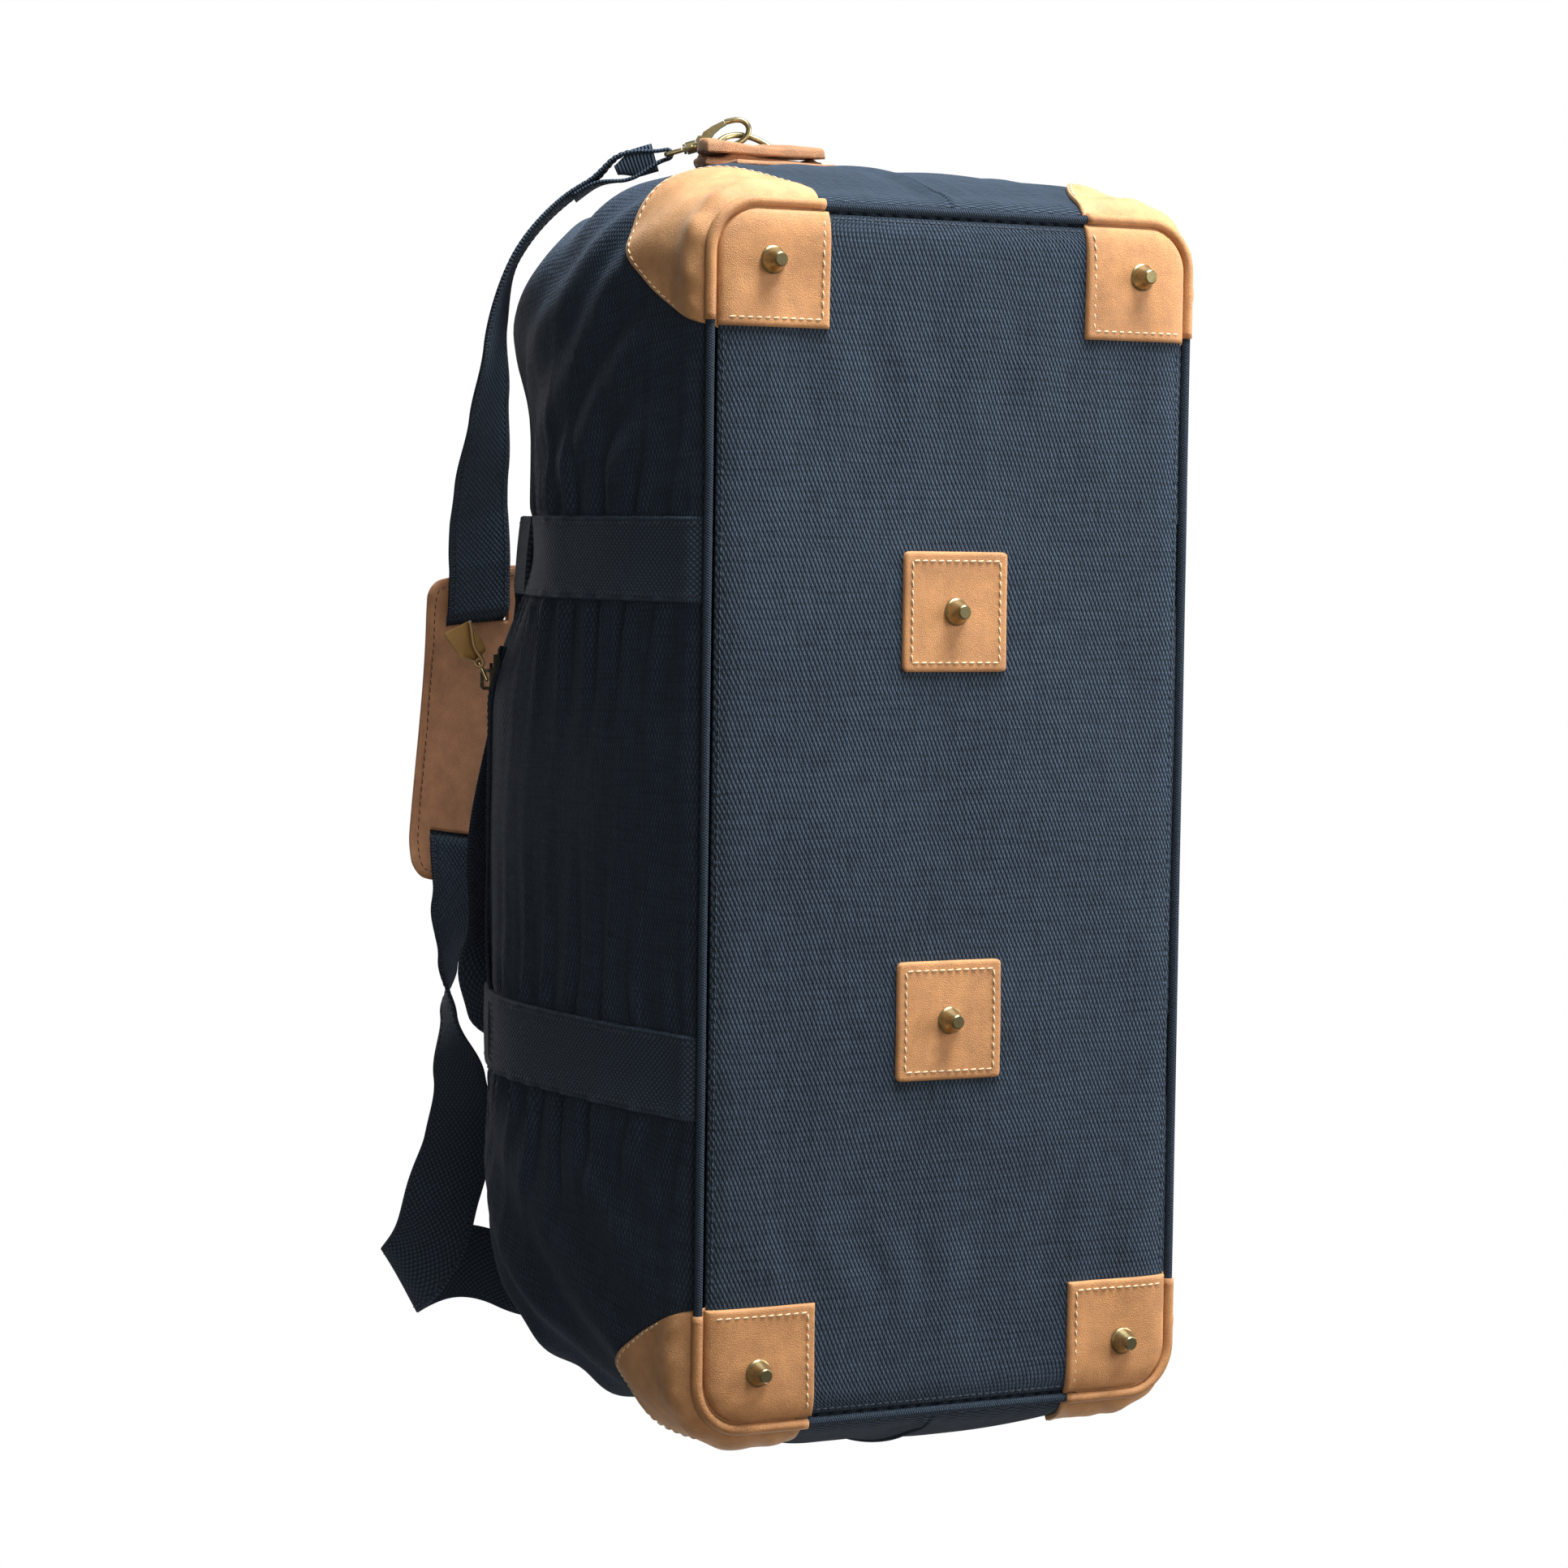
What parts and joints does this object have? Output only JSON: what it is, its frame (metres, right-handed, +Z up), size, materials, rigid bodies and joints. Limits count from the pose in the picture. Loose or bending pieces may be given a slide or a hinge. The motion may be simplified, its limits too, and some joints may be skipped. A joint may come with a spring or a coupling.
{
  "type": "weekender bag",
  "caption": "Soft canvas weekender bag with leather corners, studded base, webbing handles, zipped top and a clip-on padded shoulder strap.",
  "frame": {"origin": "on the ground under the centre of the base, level with the tips of the feet", "axes": "+Z up, +X towards the right-hand end seen from the front, -Y towards the front with the outside pocket"},
  "size_m": [0.663, 0.289, 0.3786],
  "materials": {
    "navy_canvas": "coarse plain weave, matt",
    "navy_webbing": "heavy ribbed cotton webbing",
    "tan_leather": "fine-grained nubuck with cream stitching",
    "pad_leather": "waxed brown leather with tonal stitching",
    "pull_leather": "raw-edged leather strip",
    "antique_brass": "antiqued, lightly brushed",
    "zip_tape": "fine herringbone tape",
    "lining_cloth": "plain cotton twill",
    "base_board": "plain stiffener board"
  },
  "bodies": {
    "bag": {"bottom_panel": "navy_canvas", "base_board": "base_board", "front_shell": "navy_canvas", "back_shell": "navy_canvas", "top_panel_front": "navy_canvas", "top_panel_back": "navy_canvas", "lining": "lining_cloth", "base_piping": "navy_canvas", "corner_patch_back_right": "tan_leather", "corner_patch_back_left": "tan_leather", "corner_patch_front_right": "tan_leather", "corner_patch_front_left": "tan_leather", "corner_wing_back_right": "tan_leather", "corner_wing_back_left": "tan_leather", "corner_wing_front_right": "tan_leather", "corner_wing_front_left": "tan_leather", "centre_patch_right": "tan_leather", "centre_patch_left": "tan_leather", "foot_studs": "antique_brass", "foot_washers": "antique_brass", "webbing_band_back_right": "navy_webbing", "webbing_band_back_left": "navy_webbing", "webbing_band_front_right": "navy_webbing", "webbing_band_front_left": "navy_webbing", "zip_tape_front": "zip_tape", "zip_tape_back": "zip_tape", "zip_teeth_front": "antique_brass", "zip_teeth_back": "antique_brass", "pocket_bag": "lining_cloth", "pocket_zip_tape": "zip_tape", "pocket_zip_teeth": "antique_brass", "zip_end_tab_right": "navy_webbing", "zip_end_tab_left": "navy_webbing", "ring_anchor_right": "tan_leather", "ring_anchor_left": "tan_leather"},
    "ring_right": {"d_ring_right": "antique_brass"},
    "ring_left": {"d_ring_left": "antique_brass"},
    "slider_right": {"slider_right": "antique_brass"},
    "pull_right": {"slider_ring_right": "antique_brass", "slider_pull_right": "pull_leather"},
    "slider_left": {"slider_left": "antique_brass"},
    "pull_left": {"slider_ring_left": "antique_brass", "slider_pull_left": "pull_leather"},
    "pocket_slider": {"pocket_slider": "antique_brass"},
    "pocket_pull": {"pocket_slider_ring": "antique_brass", "pocket_slider_pull": "pull_leather"},
    "handle_front": {"handle_front": "navy_webbing"},
    "handle_back": {"handle_back": "navy_webbing"},
    "strap": {"strap_webbing": "navy_webbing", "snap_eye_right": "antique_brass", "snap_eye_left": "antique_brass"},
    "pad": {"strap_pad": "pad_leather"},
    "adjuster": {"strap_adjuster": "antique_brass"},
    "hook_right": {"snap_hook_right": "antique_brass", "snap_pin_right": "antique_brass"},
    "gate_right": {"snap_gate_right": "antique_brass"},
    "hook_left": {"snap_hook_left": "antique_brass", "snap_pin_left": "antique_brass"},
    "gate_left": {"snap_gate_left": "antique_brass"}
  },
  "joints": [
    {"name": "ring_right_swing", "type": "hinge", "parent": "bag", "child": "ring_right", "pos_m": [0.306, 0.006, 0.226], "axis": [0, -1, 0], "range_deg": [-0.3, 5]},
    {"name": "slider_right_zip", "type": "slide", "parent": "bag", "child": "slider_right", "axis": [1, 0, 0], "range_m": [0, 0.178]},
    {"name": "pull_right_swing", "type": "hinge", "parent": "slider_right", "child": "pull_right", "pos_m": [0.0125, 0, 0.2966], "axis": [0, -1, 0], "range_deg": [0, 78]},
    {"name": "ring_left_swing", "type": "hinge", "parent": "bag", "child": "ring_left", "pos_m": [-0.306, 0.006, 0.226], "axis": [0, 1, 0], "range_deg": [-0.3, 5]},
    {"name": "slider_left_zip", "type": "slide", "parent": "bag", "child": "slider_left", "axis": [-1, 0, 0], "range_m": [0, 0.178]},
    {"name": "pull_left_swing", "type": "hinge", "parent": "slider_left", "child": "pull_left", "pos_m": [-0.0125, 0, 0.2966], "axis": [0, 1, 0], "range_deg": [0, 78]},
    {"name": "pocket_slider_zip", "type": "slide", "parent": "bag", "child": "pocket_slider", "axis": [-1, 0, 0], "range_m": [0, 0.128]},
    {"name": "pocket_pull_swing", "type": "hinge", "parent": "pocket_slider", "child": "pocket_pull", "pos_m": [0.054, -0.12876, 0.2366], "axis": [0, -0.3983, -0.9173], "range_deg": [-11, 85]},
    {"name": "handle_front_swing", "type": "hinge", "parent": "bag", "child": "handle_front", "pos_m": [0, -0.12976, 0.2346], "axis": [1, 0, 0], "range_deg": [0, 60]},
    {"name": "handle_back_swing", "type": "hinge", "parent": "bag", "child": "handle_back", "pos_m": [0, 0.12976, 0.2346], "axis": [-1, 0, 0], "range_deg": [0, 60]},
    {"name": "strap_lift", "type": "hinge", "parent": "bag", "child": "strap", "pos_m": [0, 0.00279, 0.23964], "axis": [-1, 0, 0], "range_deg": [0, 35]},
    {"name": "pad_slide", "type": "slide", "parent": "strap", "child": "pad", "axis": [0.9983, 0.0507, -0.028], "range_m": [-0.001, 0]},
    {"name": "adjuster_slide", "type": "slide", "parent": "strap", "child": "adjuster", "axis": [0.5, -0.51, 0.7], "range_m": [-0.008, 0.01]},
    {"name": "hook_right_swivel", "type": "hinge", "parent": "strap", "child": "hook_right", "pos_m": [0.32226, 0.00279, 0.23964], "axis": [0.2837, 0.8561, -0.432], "range_deg": [-4, 4]},
    {"name": "gate_right_open", "type": "hinge", "parent": "hook_right", "child": "gate_right", "pos_m": [0.31892, -0.01101, 0.24668], "axis": [-0.0579, 0.465, 0.8834], "range_deg": [0, 14], "stiffness_Nm_per_rad": 0.02},
    {"name": "hook_left_swivel", "type": "hinge", "parent": "strap", "child": "hook_left", "pos_m": [-0.32226, 0.00279, 0.23964], "axis": [-0.5, 0.51, -0.7], "range_deg": [-4, 4]},
    {"name": "gate_left_open", "type": "hinge", "parent": "hook_left", "child": "gate_left", "pos_m": [-0.31538, -0.00547, 0.25128], "axis": [-0.1288, -0.843, -0.5222], "range_deg": [0, 14], "stiffness_Nm_per_rad": 0.02}
  ]
}
